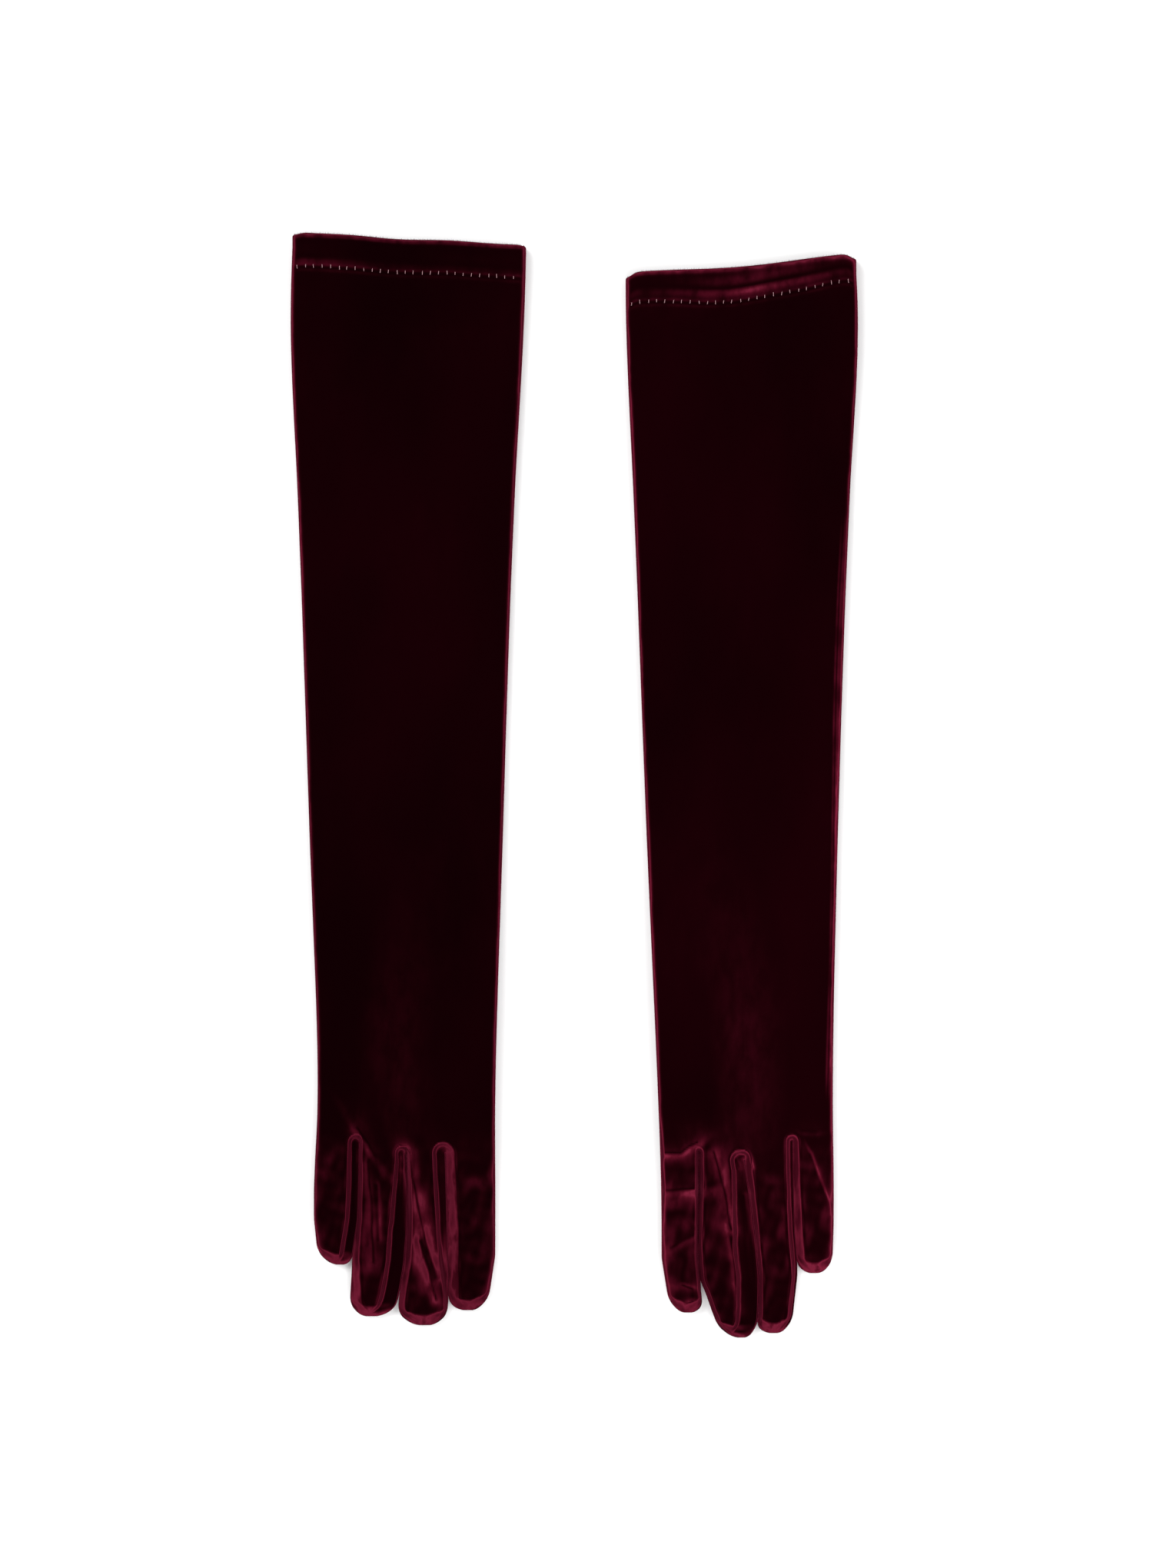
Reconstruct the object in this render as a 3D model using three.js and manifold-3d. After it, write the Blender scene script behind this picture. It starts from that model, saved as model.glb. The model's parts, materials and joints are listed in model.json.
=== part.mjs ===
// A pair of long opera gloves in stretch velvet, lying flat on their palms with the thumbs folded under.
// Every glove is a flattened tube of cloth. The cloth that is cut in one piece, the trank, is divided into
// the stretches that fold against each other: upper sleeve, forearm, hand and four fingers. The fourchettes
// (the strips between the fingers), the thumb, the turned hem and the seams are pieces of their own.
// Millimetres. +Z is up, +Y runs from the fingertips to the cuffs, and the right-hand glove lies at -X.
// The origin is on the table, under the middle of the pair.
import * as THREE from "three";
import { LoftGeometry } from "three/addons/geometries/LoftGeometry.js";
import { mergeVertices } from "three/addons/utils/BufferGeometryUtils.js";
import Module from "manifold-3d";

// ---- Driving dimensions ------------------------------------------------------------------------------
const CLOTH = 1.2; // velvet with its pile
const GAP = 0.3; // between neighbouring pieces
const JOINT_GAP = 0.4; // between two stretches that fold against each other

const ELBOW_Y = 150; // fold between upper sleeve and forearm
const WRIST_Y = -85; // fold between forearm and hand
const HEM_DEPTH = 15; // turned-in hem at the cuff
const HEM_CLOTH = 1.0; // the turned-in layer, pressed thinner
const THREAD_R = 0.3; // hem thread

// Thickness of the lying sleeve at places along it, from the knuckles up to the cuff.
const ARM_HEIGHTS = [
  [-190, 8.2],
  [WRIST_Y, 8.6],
  [30, 8.6],
  [ELBOW_Y, 8.8],
  [240, 11],
  [275, 12],
];
const FINGER_HEIGHT = 8.2;
const FOURCHETTE_WIDTH = 3; // how far a fourchette reaches in from the finger's side
const FOURCHETTE_STOP = 11; // how far from the fingertip a fourchette ends
const TIP_THINNING = 9; // the last stretch of a finger, where it thins out
const ROUNDNESS = 2.2; // of a rounded fingertip: 2 is an ellipse, and more is squarer

const THUMB_HEIGHT = 5.2;
const THUMB_HALF_WIDTH = 12;
const THUMB_LENGTH = 56; // from the middle of its mouth to its tip
const THUMB_BACK = 10; // rounded end behind the mouth
const THUMB_TIP = 12;
const MOUTH_R = 6.5; // thumbhole in the palm, and the thumb's own mouth
const THUMB_LIFT = THUMB_HEIGHT + GAP; // the palm rides over the folded thumb by this much
const LIFT_START = WRIST_Y - 2; // the palm begins to rise
const LIFT_FULL = WRIST_Y - 15;
const LIFT_END = -176; // and is back on the table at the finger roots
const LIFT_END_FULL = -164;

const SEAM_WIDTH = 4; // seam allowance inside the little-finger edge
const SEAM_HEIGHT = 1.6;
const SEAM_INSET = CLOTH + GAP + 0.5; // from the edge, clear of the roll's facets

// Outline of each glove. An edge or a fork is a list of [y, x] from the fingertips up to the cuff.
// The forks part the fingers, from little finger to index finger. A finger's tip is [x, y], and its
// sides are rounded towards it over those last lengths, at the side of lower X and the side of higher X.
const GLOVES = {
  right: {
    thumbSide: 1, // the index finger and the thumb are at +X
    cuff: { little: 272.2, index: 265.4 },
    little: [[-236, -128], [-200, -128.4], [-154, -126.5], [-33, -130.3], [128, -135.7], [238, -140], [272.2, -138.4]],
    index: [[-250, -38.9], [-200, -38.8], [-154, -38.8], [-33, -35.3], [128, -30], [238, -24.2], [272.2, -23.4]],
    forks: [
      [[-254, -111], [-237, -110], [-216, -106.8], [-200, -106.2], [-169, -106]],
      [[-262, -87.6], [-254, -87], [-235, -83.4], [-215, -82.2], [-177, -82.7]],
      [[-262, -61.4], [-240, -62.2], [-205, -62.8], [-177, -63.4]],
    ],
    fingers: {
      little: { root: -170, tip: [-115, -236.9], round: [17, 4] },
      ring: { root: -176, tip: [-100.7, -262.4], round: [12, 9] },
      middle: { root: -178, tip: [-73.5, -266.8], round: [12.5, 13] },
      index: { root: -177, tip: [-51.7, -259.4], round: [6, 27] },
    },
    thumb: [-54, -112],
  },
  left: {
    thumbSide: -1,
    cuff: { little: 261.2, index: 251.2 },
    little: [[-240, 127.9], [-200, 128.2], [-154, 127.7], [-33, 130], [128, 135.3], [238, 140.2], [262, 138.2]],
    index: [[-250, 43.2], [-200, 43], [-154, 41.4], [-33, 36.1], [128, 30], [238, 25.4], [262, 25.6]],
    forks: [
      [[-262, 110.6], [-237, 110.3], [-228, 109.2], [-205, 108.4], [-172, 107.9]],
      [[-268, 89.8], [-258, 91.8], [-240, 91.3], [-215, 88.6], [-182, 83.5]],
      [[-262, 64.6], [-252, 63.2], [-230, 60.8], [-210, 61.6], [-178, 61.4]],
    ],
    fingers: {
      little: { root: -172, tip: [118.9, -241.1], round: [6, 13] },
      ring: { root: -180, tip: [99.2, -270.7], round: [6, 27] },
      middle: { root: -181, tip: [83, -272.9], round: [33, 9] },
      index: { root: -178, tip: [55.9, -260.6], round: [29, 7] },
    },
    thumb: [54, -112],
  },
};
const FINGERS = ["little", "ring", "middle", "index"];

// ---- Materials ---------------------------------------------------------------------------------------
const VELVET = new THREE.MeshStandardMaterial({ color: 0x3a0312, roughness: 0.9, metalness: 0 });
const THREAD = new THREE.MeshStandardMaterial({ color: 0xa65368, roughness: 0.6, metalness: 0 });

// ---- Solids ------------------------------------------------------------------------------------------
const wasm = await Module();
wasm.setup();

// A closed three.js geometry as a manifold solid with its faces pointing out.
function solid(geometry) {
  const bare = new THREE.BufferGeometry()
    .setAttribute("position", geometry.attributes.position)
    .setIndex(geometry.index);
  const merged = mergeVertices(bare, 1e-4);
  const corners = merged.index.array;
  const triangles = [];
  for (let i = 0; i < corners.length; i += 3) {
    const [a, b, c] = corners.slice(i, i + 3);
    if (a !== b && b !== c && c !== a) triangles.push(a, b, c);
  }
  const build = (triVerts) =>
    new wasm.Manifold(
      new wasm.Mesh({
        numProp: 3,
        vertProperties: merged.attributes.position.array,
        triVerts: new Uint32Array(triVerts),
      }),
    );
  const made = build(triangles);
  return made.volume() > 0 ? made : build(triangles.reverse());
}

// A manifold solid as a named three.js mesh.
function piece(name, body, material) {
  const mesh = body.getMesh();
  const vertices = new Float32Array(mesh.numVert * 3);
  for (let i = 0; i < mesh.numVert; i++)
    vertices.set(mesh.vertProperties.subarray(i * mesh.numProp, i * mesh.numProp + 3), i * 3);
  const geometry = new THREE.BufferGeometry()
    .setAttribute("position", new THREE.BufferAttribute(vertices, 3))
    .setIndex(new THREE.BufferAttribute(mesh.triVerts, 1));
  const made = new THREE.Mesh(geometry, material);
  made.name = name;
  return made;
}

// A block between two corners.
function block(low, high) {
  const size = high.map((value, axis) => value - low[axis]);
  const box = new THREE.BoxGeometry(...size);
  box.translate(...low.map((value, axis) => value + size[axis] / 2));
  return solid(box);
}

// A smooth curve through [position, value] pairs, as a function of position.
function through(pairs) {
  const sorted = [...pairs].sort((a, b) => a[0] - b[0]);
  const [first, last] = [sorted[0][0], sorted[sorted.length - 1][0]];
  const spline = new THREE.CubicInterpolant(
    sorted.map((pair) => pair[0]),
    sorted.map((pair) => pair[1]),
    1,
    [0],
  );
  return (position) => spline.evaluate(THREE.MathUtils.clamp(position, first, last))[0];
}

// One ring of a flattened tube, across Y: two round rolled sides joined by flat faces.
// lift(x, y) raises the whole ring where the cloth lies over something.
function ring({ y, left, right, low, high, inset = 0, lift = () => 0, sides = 4, faces = 2 }) {
  const centre = (left + right) / 2;
  const halfWidth = (right - left) / 2 - inset;
  const halfHeight = (high - low) / 2 - inset;
  const roll = Math.min(halfHeight * 1.1, halfWidth * 0.9);
  const points = [];
  const add = (x, z) => points.push(new THREE.Vector3(x, y, z + lift(x, y)));
  for (const side of [1, -1]) {
    for (let i = 0; i <= sides; i++) {
      const angle = -Math.PI / 2 + (Math.PI * i) / sides;
      add(
        centre + side * (halfWidth - roll + roll * Math.cos(angle)),
        (low + high) / 2 + side * halfHeight * Math.sin(angle),
      );
    }
    for (let i = 1; i < faces; i++)
      add(
        centre + side * (halfWidth - roll) * (1 - (2 * i) / faces),
        (low + high) / 2 + side * halfHeight,
      );
  }
  return points;
}

// The middle of a ring of points.
function middleOf(points) {
  const sum = points.reduce((total, point) => total.add(point), new THREE.Vector3());
  return sum.divideScalar(points.length);
}

// A closed solid through rings, with a fan about the middle at each end.
function loft(rings) {
  const fan = (points) => {
    const middle = middleOf(points);
    return points.map(() => middle);
  };
  return solid(new LoftGeometry([fan(rings[0]), ...rings, fan(rings[rings.length - 1])]));
}

// Values from a to b, both included, in count steps.
const steps = (a, b, count) =>
  Array.from({ length: count + 1 }, (_, i) => a + ((b - a) * i) / count);

// ---- One glove ---------------------------------------------------------------------------------------
const armHeight = through(ARM_HEIGHTS);

// A stretch of the sleeve or hand between two Y values, inset from its outside.
function armTube(shape, from, to, inset, options = {}) {
  const { count = 3, ...ringOptions } = options;
  return loft(
    steps(from, to, count).map((y) =>
      ring({
        y,
        left: shape.left(y),
        right: shape.right(y),
        low: 0,
        high: armHeight(y),
        inset,
        ...ringOptions,
      }),
    ),
  );
}

// Sleeve or hand wall: the outside less the hollow, which runs past both ends.
function armWall(shape, from, to, options) {
  return armTube(shape, from, to, 0, options).subtract(
    armTube(shape, from - 1, to + 1, CLOTH, options),
  );
}

// The slanting cuff line moved down the sleeve by a distance, as y = at + slope * x.
function cuffLine(shape, down) {
  const { index, little } = shape.cuff;
  const slope = (index - little) / (shape.indexEdge(index) - shape.littleEdge(little));
  return { slope, at: little - slope * shape.littleEdge(little) - down };
}

// Cuts a body along that line, and keeps its finger side (1) or its cuff side (-1).
function cutAtCuff(body, shape, down, keep) {
  const { slope, at } = cuffLine(shape, down);
  return body.trimByPlane([slope * keep, -keep, 0], -at * keep);
}

// The palm's rise over the folded thumb: full on the thumb's side, none on the little-finger side.
function thumbLift(shape) {
  const innerEdge = shape.thumb[0] - shape.thumbSide * (THUMB_HALF_WIDTH + 2);
  const { smoothstep } = THREE.MathUtils;
  return (x, y) => {
    const across = smoothstep((x - innerEdge) * shape.thumbSide, -14, 0);
    const along = smoothstep(-y, -LIFT_START, -LIFT_FULL) * (1 - smoothstep(-y, -LIFT_END_FULL, -LIFT_END));
    return THUMB_LIFT * across * along;
  };
}

// Seam allowance that lies inside the little-finger edge, between two Y values.
function seam(shape, from, to, lift) {
  const edge = shape.thumbSide > 0 ? shape.left : shape.right;
  const inwards = shape.thumbSide;
  return loft(
    steps(from, to, 3).map((y) => {
      const outer = edge(y) + inwards * SEAM_INSET;
      const inner = outer + inwards * SEAM_WIDTH;
      const low = armHeight(y) / 2 - SEAM_HEIGHT / 2;
      return ring({
        y,
        left: Math.min(outer, inner),
        right: Math.max(outer, inner),
        low,
        high: low + SEAM_HEIGHT,
        lift,
        sides: 2,
        faces: 1,
      });
    }),
  );
}

// Upper sleeve, hem and their thread.
function cuffPieces(side, shape, add) {
  const { index, little } = shape.cuff;
  const top = Math.max(little, index) + 4;
  const hemEdge = Math.min(little, index) - HEM_DEPTH;
  const from = ELBOW_Y + JOINT_GAP / 2;
  const wall = armWall(shape, from, top, { count: 5 });
  add(`${side}_upper_sleeve`, cutAtCuff(wall, shape, 0, 1));

  const hemOuter = armTube(shape, hemEdge - 6, top, CLOTH + GAP);
  const hemHollow = armTube(shape, hemEdge - 7, top + 1, CLOTH + GAP + HEM_CLOTH);
  const hem = cutAtCuff(hemOuter.subtract(hemHollow), shape, 0, 1);
  add(`${side}_hem_facing`, cutAtCuff(hem, shape, HEM_DEPTH, -1));

  add(`${side}_hem_thread`, hemThread(shape), THREAD);
  add(`${side}_upper_sleeve_seam`, seam(shape, from, hemEdge - 4));
}

// The thread that holds the hem's free edge, a closed loop just below it along the sleeve's inside.
function hemThread(shape) {
  const { slope, at } = cuffLine(shape, HEM_DEPTH + GAP + 2 * THREAD_R);
  const middleY = at + (slope * (shape.left(at) + shape.right(at))) / 2;
  const path = ring({
    y: middleY,
    left: shape.left(middleY),
    right: shape.right(middleY),
    low: 0,
    high: armHeight(middleY),
    inset: CLOTH + GAP + THREAD_R,
    faces: 3,
  });
  path.forEach((point) => (point.y = at + slope * point.x));
  const centre = middleOf(path);
  const rings = path.map((point, i) => {
    const before = path[(i + path.length - 1) % path.length];
    const after = path[(i + 1) % path.length];
    const along = after.clone().sub(before).normalize();
    const across = new THREE.Vector3().crossVectors(along, new THREE.Vector3(0, 1, 0)).normalize();
    if (across.dot(centre.clone().sub(point)) < 0) across.negate();
    return [0, 1, 2, 3].map((corner) => {
      const angle = (Math.PI / 2) * corner;
      const up = new THREE.Vector3(0, THREAD_R * Math.sin(angle), 0);
      return point.clone().addScaledVector(across, THREAD_R * Math.cos(angle)).add(up);
    });
  });
  return solid(new LoftGeometry([...rings, rings[0]]));
}

// Forearm with its stretch of seam.
function forearmPieces(side, shape, add) {
  const [from, to] = [WRIST_Y + JOINT_GAP / 2, ELBOW_Y - JOINT_GAP / 2];
  add(`${side}_forearm_sleeve`, armWall(shape, from, to, { count: 4 }));
  add(`${side}_forearm_seam`, seam(shape, from, to));
}

// Hand, ending in steps at the finger roots and open at the thumbhole.
function handPieces(side, shape, add) {
  const lift = thumbLift(shape);
  const [from, to] = [-184, WRIST_Y - JOINT_GAP / 2];
  let hand = armWall(shape, from, to, { count: 12, faces: 9, lift });
  FINGERS.forEach((finger) => {
    const { low, high } = fingerSpan(shape, finger);
    const root = shape.fingers[finger].root + JOINT_GAP / 2;
    hand = hand.subtract(block([low - 0.01, -200, -5], [high + 0.01, root, 30]));
  });
  const [x, y] = shape.thumb;
  hand = hand.subtract(mouth(x, y, THUMB_LIFT - 1, THUMB_LIFT + CLOTH + 1));
  add(`${side}_hand`, hand);
  add(`${side}_hand_seam`, seam(shape, shape.fingers.little.root + 1, to, lift));
}

// An upright round hole between two heights.
function mouth(x, y, low, high) {
  const drum = new THREE.CylinderGeometry(MOUTH_R, MOUTH_R, high - low, 16);
  drum.rotateX(Math.PI / 2);
  drum.translate(x, y, (low + high) / 2);
  return solid(drum);
}

// The strip of the knuckle line that a finger takes, from fork to fork, as low and high X.
function fingerSpan(shape, finger) {
  const { left, right } = fingerLines(shape, finger);
  const root = shape.fingers[finger].root;
  const outer = 20;
  const order = shape.thumbSide > 0 ? FINGERS : [...FINGERS].reverse();
  return {
    low: finger === order[0] ? left(root) - outer : left(root),
    high: finger === order[3] ? right(root) + outer : right(root),
  };
}

// The forks or outer edges on both sides of a finger, as functions of y, in the order of X.
function fingerLines(shape, finger) {
  const bounds = [shape.littleEdge, ...shape.forkLines, shape.indexEdge];
  const i = FINGERS.indexOf(finger);
  const [left, right] = shape.thumbSide > 0 ? [bounds[i], bounds[i + 1]] : [bounds[i + 1], bounds[i]];
  return { left, right };
}

// A finger's two edges as functions of y, rounded to the tip and moved inwards by an inset.
function fingerEdges(shape, finger, inset) {
  const { left, right } = fingerLines(shape, finger);
  const { root, tip, round } = shape.fingers[finger];
  const isOuter = (line) => line === shape.littleEdge || line === shape.indexEdge;
  const rounded = (line, sign, length) => (y) => {
    const share = THREE.MathUtils.clamp((tip[1] + length - y) / (length - inset), 0, 1);
    const clear = isOuter(line) ? 0 : GAP / 2 + 0.1;
    const straight = line(Math.min(y, root)) + sign * (inset + clear);
    return tip[0] + (straight - tip[0]) * (1 - share ** ROUNDNESS) ** (1 / ROUNDNESS);
  };
  return { left: rounded(left, 1, round[0]), right: rounded(right, -1, round[1]) };
}

// A finger's rings from its root to its rounded tip.
function fingerRings(shape, finger, inset, past) {
  const { left, right } = fingerEdges(shape, finger, inset);
  const { root, tip } = shape.fingers[finger];
  const end = tip[1] + inset;
  const thinning = TIP_THINNING - inset;
  const shaft = steps(root - JOINT_GAP / 2 + past, end + thinning, 4);
  const tipStations = [0.3, 0.5, 0.7, 0.85, 0.95, 0.99].map((share) => end + thinning * (1 - share));
  return [...shaft, ...tipStations].map((y) => {
    const share = THREE.MathUtils.clamp((end + thinning - y) / thinning, 0, 1);
    const halfHeight = (FINGER_HEIGHT / 2 - inset) * (1 - share ** ROUNDNESS) ** (1 / ROUNDNESS);
    return ring({
      y,
      left: left(y),
      right: right(y),
      low: FINGER_HEIGHT / 2 - halfHeight,
      high: FINGER_HEIGHT / 2 + halfHeight,
      faces: 2,
    });
  });
}

// Where a fourchette is cut from a finger: a slab along one side, from the root to short of the tip.
function sideSlab(shape, finger, sign, extra) {
  const { left, right } = fingerEdges(shape, finger, 0);
  const { root, tip } = shape.fingers[finger];
  const edge = sign < 0 ? left : right;
  const stations = steps(root + 1, tip[1] + FOURCHETTE_STOP - extra, 4);
  const rings = stations.map((y) => {
    const inner = edge(y) - sign * (FOURCHETTE_WIDTH + extra);
    const outer = edge(y) + sign * 3;
    const [a, b] = [Math.min(inner, outer), Math.max(inner, outer)];
    return [
      new THREE.Vector3(a, y, -1),
      new THREE.Vector3(b, y, -1),
      new THREE.Vector3(b, y, FINGER_HEIGHT + 1),
      new THREE.Vector3(a, y, FINGER_HEIGHT + 1),
    ];
  });
  return loft(rings);
}

// Four fingers, each with the fourchettes on the sides that face another finger.
function fingerPieces(side, shape, add) {
  FINGERS.forEach((finger, i) => {
    const wall = loft(fingerRings(shape, finger, 0, 0)).subtract(
      loft(fingerRings(shape, finger, CLOTH, 1)),
    );
    const faces = [];
    if (i > 0) faces.push({ to: FINGERS[i - 1], sign: -shape.thumbSide });
    if (i < 3) faces.push({ to: FINGERS[i + 1], sign: shape.thumbSide });
    let cloth = wall;
    faces.forEach(({ to, sign }) => {
      add(`${side}_${finger}_fourchette_to_${to}`, wall.intersect(sideSlab(shape, finger, sign, 0)));
      cloth = cloth.subtract(sideSlab(shape, finger, sign, GAP));
    });
    add(`${side}_${finger}_finger`, cloth);
  });
}

// The thumb, a flat tube under the palm with its mouth up against the thumbhole.
function thumbPiece(side, shape, add) {
  const [x, mouthY] = shape.thumb;
  const [back, tip] = [mouthY + THUMB_BACK, mouthY - THUMB_LENGTH];
  const body = (inset) => {
    const at = (y, widthShare, heightShare) => {
      const half = (THUMB_HALF_WIDTH - inset) * widthShare;
      const halfHeight = (THUMB_HEIGHT / 2 - inset) * heightShare;
      const [low, high] = [THUMB_HEIGHT / 2 - halfHeight, THUMB_HEIGHT / 2 + halfHeight];
      return ring({ y, left: x - half, right: x + half, low, high });
    };
    const turns = [0.97, 0.7, 0.35];
    const round = (share, y, length) => {
      const angle = (share * Math.PI) / 2;
      return at(y + (length - inset) * Math.sin(angle), Math.cos(angle), Math.cos(angle) ** 0.6);
    };
    const backEnd = turns.map((share) => round(share, mouthY, back - mouthY));
    const shaft = [mouthY, mouthY - THUMB_LENGTH / 3, tip + THUMB_TIP].map((y) => at(y, 1, 1));
    const frontEnd = [...turns].reverse().map((share) => {
      const angle = (share * Math.PI) / 2;
      const y = tip + THUMB_TIP - (THUMB_TIP - inset) * Math.sin(angle);
      return at(y, Math.cos(angle), Math.cos(angle) ** 0.6);
    });
    return loft([...backEnd, ...shaft, ...frontEnd]);
  };
  const open = mouth(x, mouthY, THUMB_HEIGHT / 2, THUMB_HEIGHT + 1);
  add(`${side}_thumb`, body(0).subtract(body(CLOTH)).subtract(open));
}

// The whole glove as named meshes in its own group.
function glove(side) {
  const shape = { ...GLOVES[side] };
  shape.littleEdge = through(shape.little);
  shape.indexEdge = through(shape.index);
  shape.forkLines = shape.forks.map(through);
  const leftIsLittle = shape.thumbSide > 0;
  shape.left = leftIsLittle ? shape.littleEdge : shape.indexEdge;
  shape.right = leftIsLittle ? shape.indexEdge : shape.littleEdge;
  const group = new THREE.Group();
  const add = (name, body, material = VELVET) => group.add(piece(name, body, material));
  cuffPieces(side, shape, add);
  forearmPieces(side, shape, add);
  handPieces(side, shape, add);
  fingerPieces(side, shape, add);
  thumbPiece(side, shape, add);
  return group;
}

const gloves = new THREE.Group();
gloves.add(glove("right"), glove("left"));

export default gloves;
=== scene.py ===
"""A pair of long burgundy velvet opera gloves lying flat on a pale floor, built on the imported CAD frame.

Every outline comes from slices through the CAD nodes. The cloth between the outlines is worked out here:
rolled edges, fourchettes, seams, folds and the rise over the folded thumb. Metres, +Z up, cuffs at +Y,
and the right-hand glove lies at -X.
"""

import json
import math
import random

import bmesh
import bpy
import numpy as np
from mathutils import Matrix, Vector


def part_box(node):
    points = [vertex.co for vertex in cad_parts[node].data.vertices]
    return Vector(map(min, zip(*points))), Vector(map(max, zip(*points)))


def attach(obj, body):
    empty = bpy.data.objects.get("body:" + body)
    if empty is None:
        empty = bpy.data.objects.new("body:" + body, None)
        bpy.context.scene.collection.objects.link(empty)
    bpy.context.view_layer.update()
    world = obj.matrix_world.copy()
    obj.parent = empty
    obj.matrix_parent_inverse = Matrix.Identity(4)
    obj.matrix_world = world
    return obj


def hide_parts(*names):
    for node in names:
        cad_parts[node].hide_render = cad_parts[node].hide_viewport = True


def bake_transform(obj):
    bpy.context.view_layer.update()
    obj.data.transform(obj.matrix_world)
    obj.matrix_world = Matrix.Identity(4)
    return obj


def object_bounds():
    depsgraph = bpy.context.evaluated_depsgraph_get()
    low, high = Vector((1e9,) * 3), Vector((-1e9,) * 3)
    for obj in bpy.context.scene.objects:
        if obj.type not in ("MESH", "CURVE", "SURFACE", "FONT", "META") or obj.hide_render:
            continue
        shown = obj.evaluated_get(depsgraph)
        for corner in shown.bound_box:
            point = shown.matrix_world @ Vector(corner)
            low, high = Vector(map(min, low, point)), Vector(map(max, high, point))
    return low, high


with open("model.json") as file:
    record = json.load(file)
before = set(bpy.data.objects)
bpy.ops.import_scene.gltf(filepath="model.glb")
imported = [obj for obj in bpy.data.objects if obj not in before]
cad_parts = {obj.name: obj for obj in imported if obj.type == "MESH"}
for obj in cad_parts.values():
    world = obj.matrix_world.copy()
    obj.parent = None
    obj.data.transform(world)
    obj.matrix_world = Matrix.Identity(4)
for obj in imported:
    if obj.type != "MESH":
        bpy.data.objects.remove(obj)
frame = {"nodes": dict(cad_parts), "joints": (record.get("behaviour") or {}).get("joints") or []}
cad_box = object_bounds()

MM = 0.001
FINGERS = ("little", "ring", "middle", "index")

# ---- Dimensions of the cloth ----
CLOTH = 1.1 * MM  # thickness of the velvet with its pile
OUTER_ROLL = 3.2 * MM  # width of the pressed outer edge
TIP_ROLL = 5.4 * MM  # width of the roll round a fingertip
TIP_HEIGHT = 9 * MM  # how far up its sides the tip's own roll reaches
SHOULDER = 12 * MM  # from the fingertip to where a finger's rows draw closer together
FOURCHETTE_STOP = 11 * MM  # how far from the fingertip a fourchette ends
UNDER_ROLL = 2.6 * MM  # the roll on the side that lies on the floor
MID = 3.0 * MM  # height at which back and palm meet along the outer edges
TIP_MID = 4.6 * MM  # around a fingertip
SLIT_MID = 5.0 * MM  # and along a slit
SHELF_STEP = 1.9 * MM  # width of the step from a shelf up to the seam
CROWN = 1.3 * MM  # how far a finger's middle stands above its sides
CRUMPLE = 0.013 * MM  # unevenness of the fingers' cloth, for each mm of a wave's length
THUMB_RISE = 4.3 * MM  # the palm's rise over the folded thumb
THUMB_RAMP = 42 * MM  # the distance over which that rise fades out
THUMB_PLAY = 0.35 * MM  # between the thumb and the palm above it
THUMB_BACK, THUMB_TIP = 11 * MM, 13 * MM  # lengths of the thumb's rounded ends
BEND_LEAD = 9 * MM  # how much of it lies before the hinge of an elbow or wrist
SPLIT_Y = 30 * MM  # where the sleeve's piece ends and the hand's begins, in mid forearm
HAND_Y = -90 * MM  # from here to the knuckles the rows lie closer
CUFF_ROLL = 1.0 * MM  # radius of the turned edge of the cuff
HEM_DEPTH = 15 * MM  # of the turned-in layer
SEAM_START = 20 * MM  # where the side seam's allowance begins, below the cuff
STITCH_PITCH = 4.1 * MM
STITCH_MARGIN = 3.0 * MM  # from the glove's edge to the first stitch
STITCH_RADIUS = 0.13 * MM
FUZZ_PITCH = 0.35 * MM  # between the pile ends along the cuff

# How far below the higher of two finger roots the slit between them ends, from little finger to index.
SLIT_DROPS = {"right": (6.5, 6.0, 4.7), "left": (3.7, 5.4, 3.0)}

# The cloth of (finger, beside its neighbour): its width in mm at the finger's root, middle and end, how
# much of a flat shelf it is (0 is an even slope), and how proud the seam above it stands.
SIDES = {
    "right": {
        ("little", "ring"): ((5.4, 5.8, 6.4), 1.0, 0.6),
        ("ring", "little"): ((1.6, 2.0, 5.6), 0.0, 0.6),
        ("ring", "middle"): ((5.6, 9.0, 9.2), 1.0, 0.8),
        ("middle", "ring"): ((1.6, 2.6, 3.4), 0.0, 0.8),
        ("middle", "index"): ((6.4, 5.0, 1.6), 1.0, 0.5),
        ("index", "middle"): ((4.4, 5.4, 5.0), 0.0, 0.8),
    },
    "left": {
        ("little", "ring"): ((2.6, 3.2, 4.0), 0.0, 0.8),
        ("ring", "little"): ((3.4, 2.9, 2.6), 0.9, 1.0),
        ("ring", "middle"): ((3.0, 1.6, 1.6), 0.0, 0.9),
        ("middle", "ring"): ((7.0, 11.5, 11.0), 1.0, 0.7),
        ("middle", "index"): ((2.4, 1.8, 2.4), 0.0, 0.9),
        ("index", "middle"): ((1.8, 1.4, 1.6), 0.2, 0.3),
    },
}
WIDTHS_AT = (0.1, 0.5, 0.92)  # where on the way from root to tip those three widths are

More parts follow.
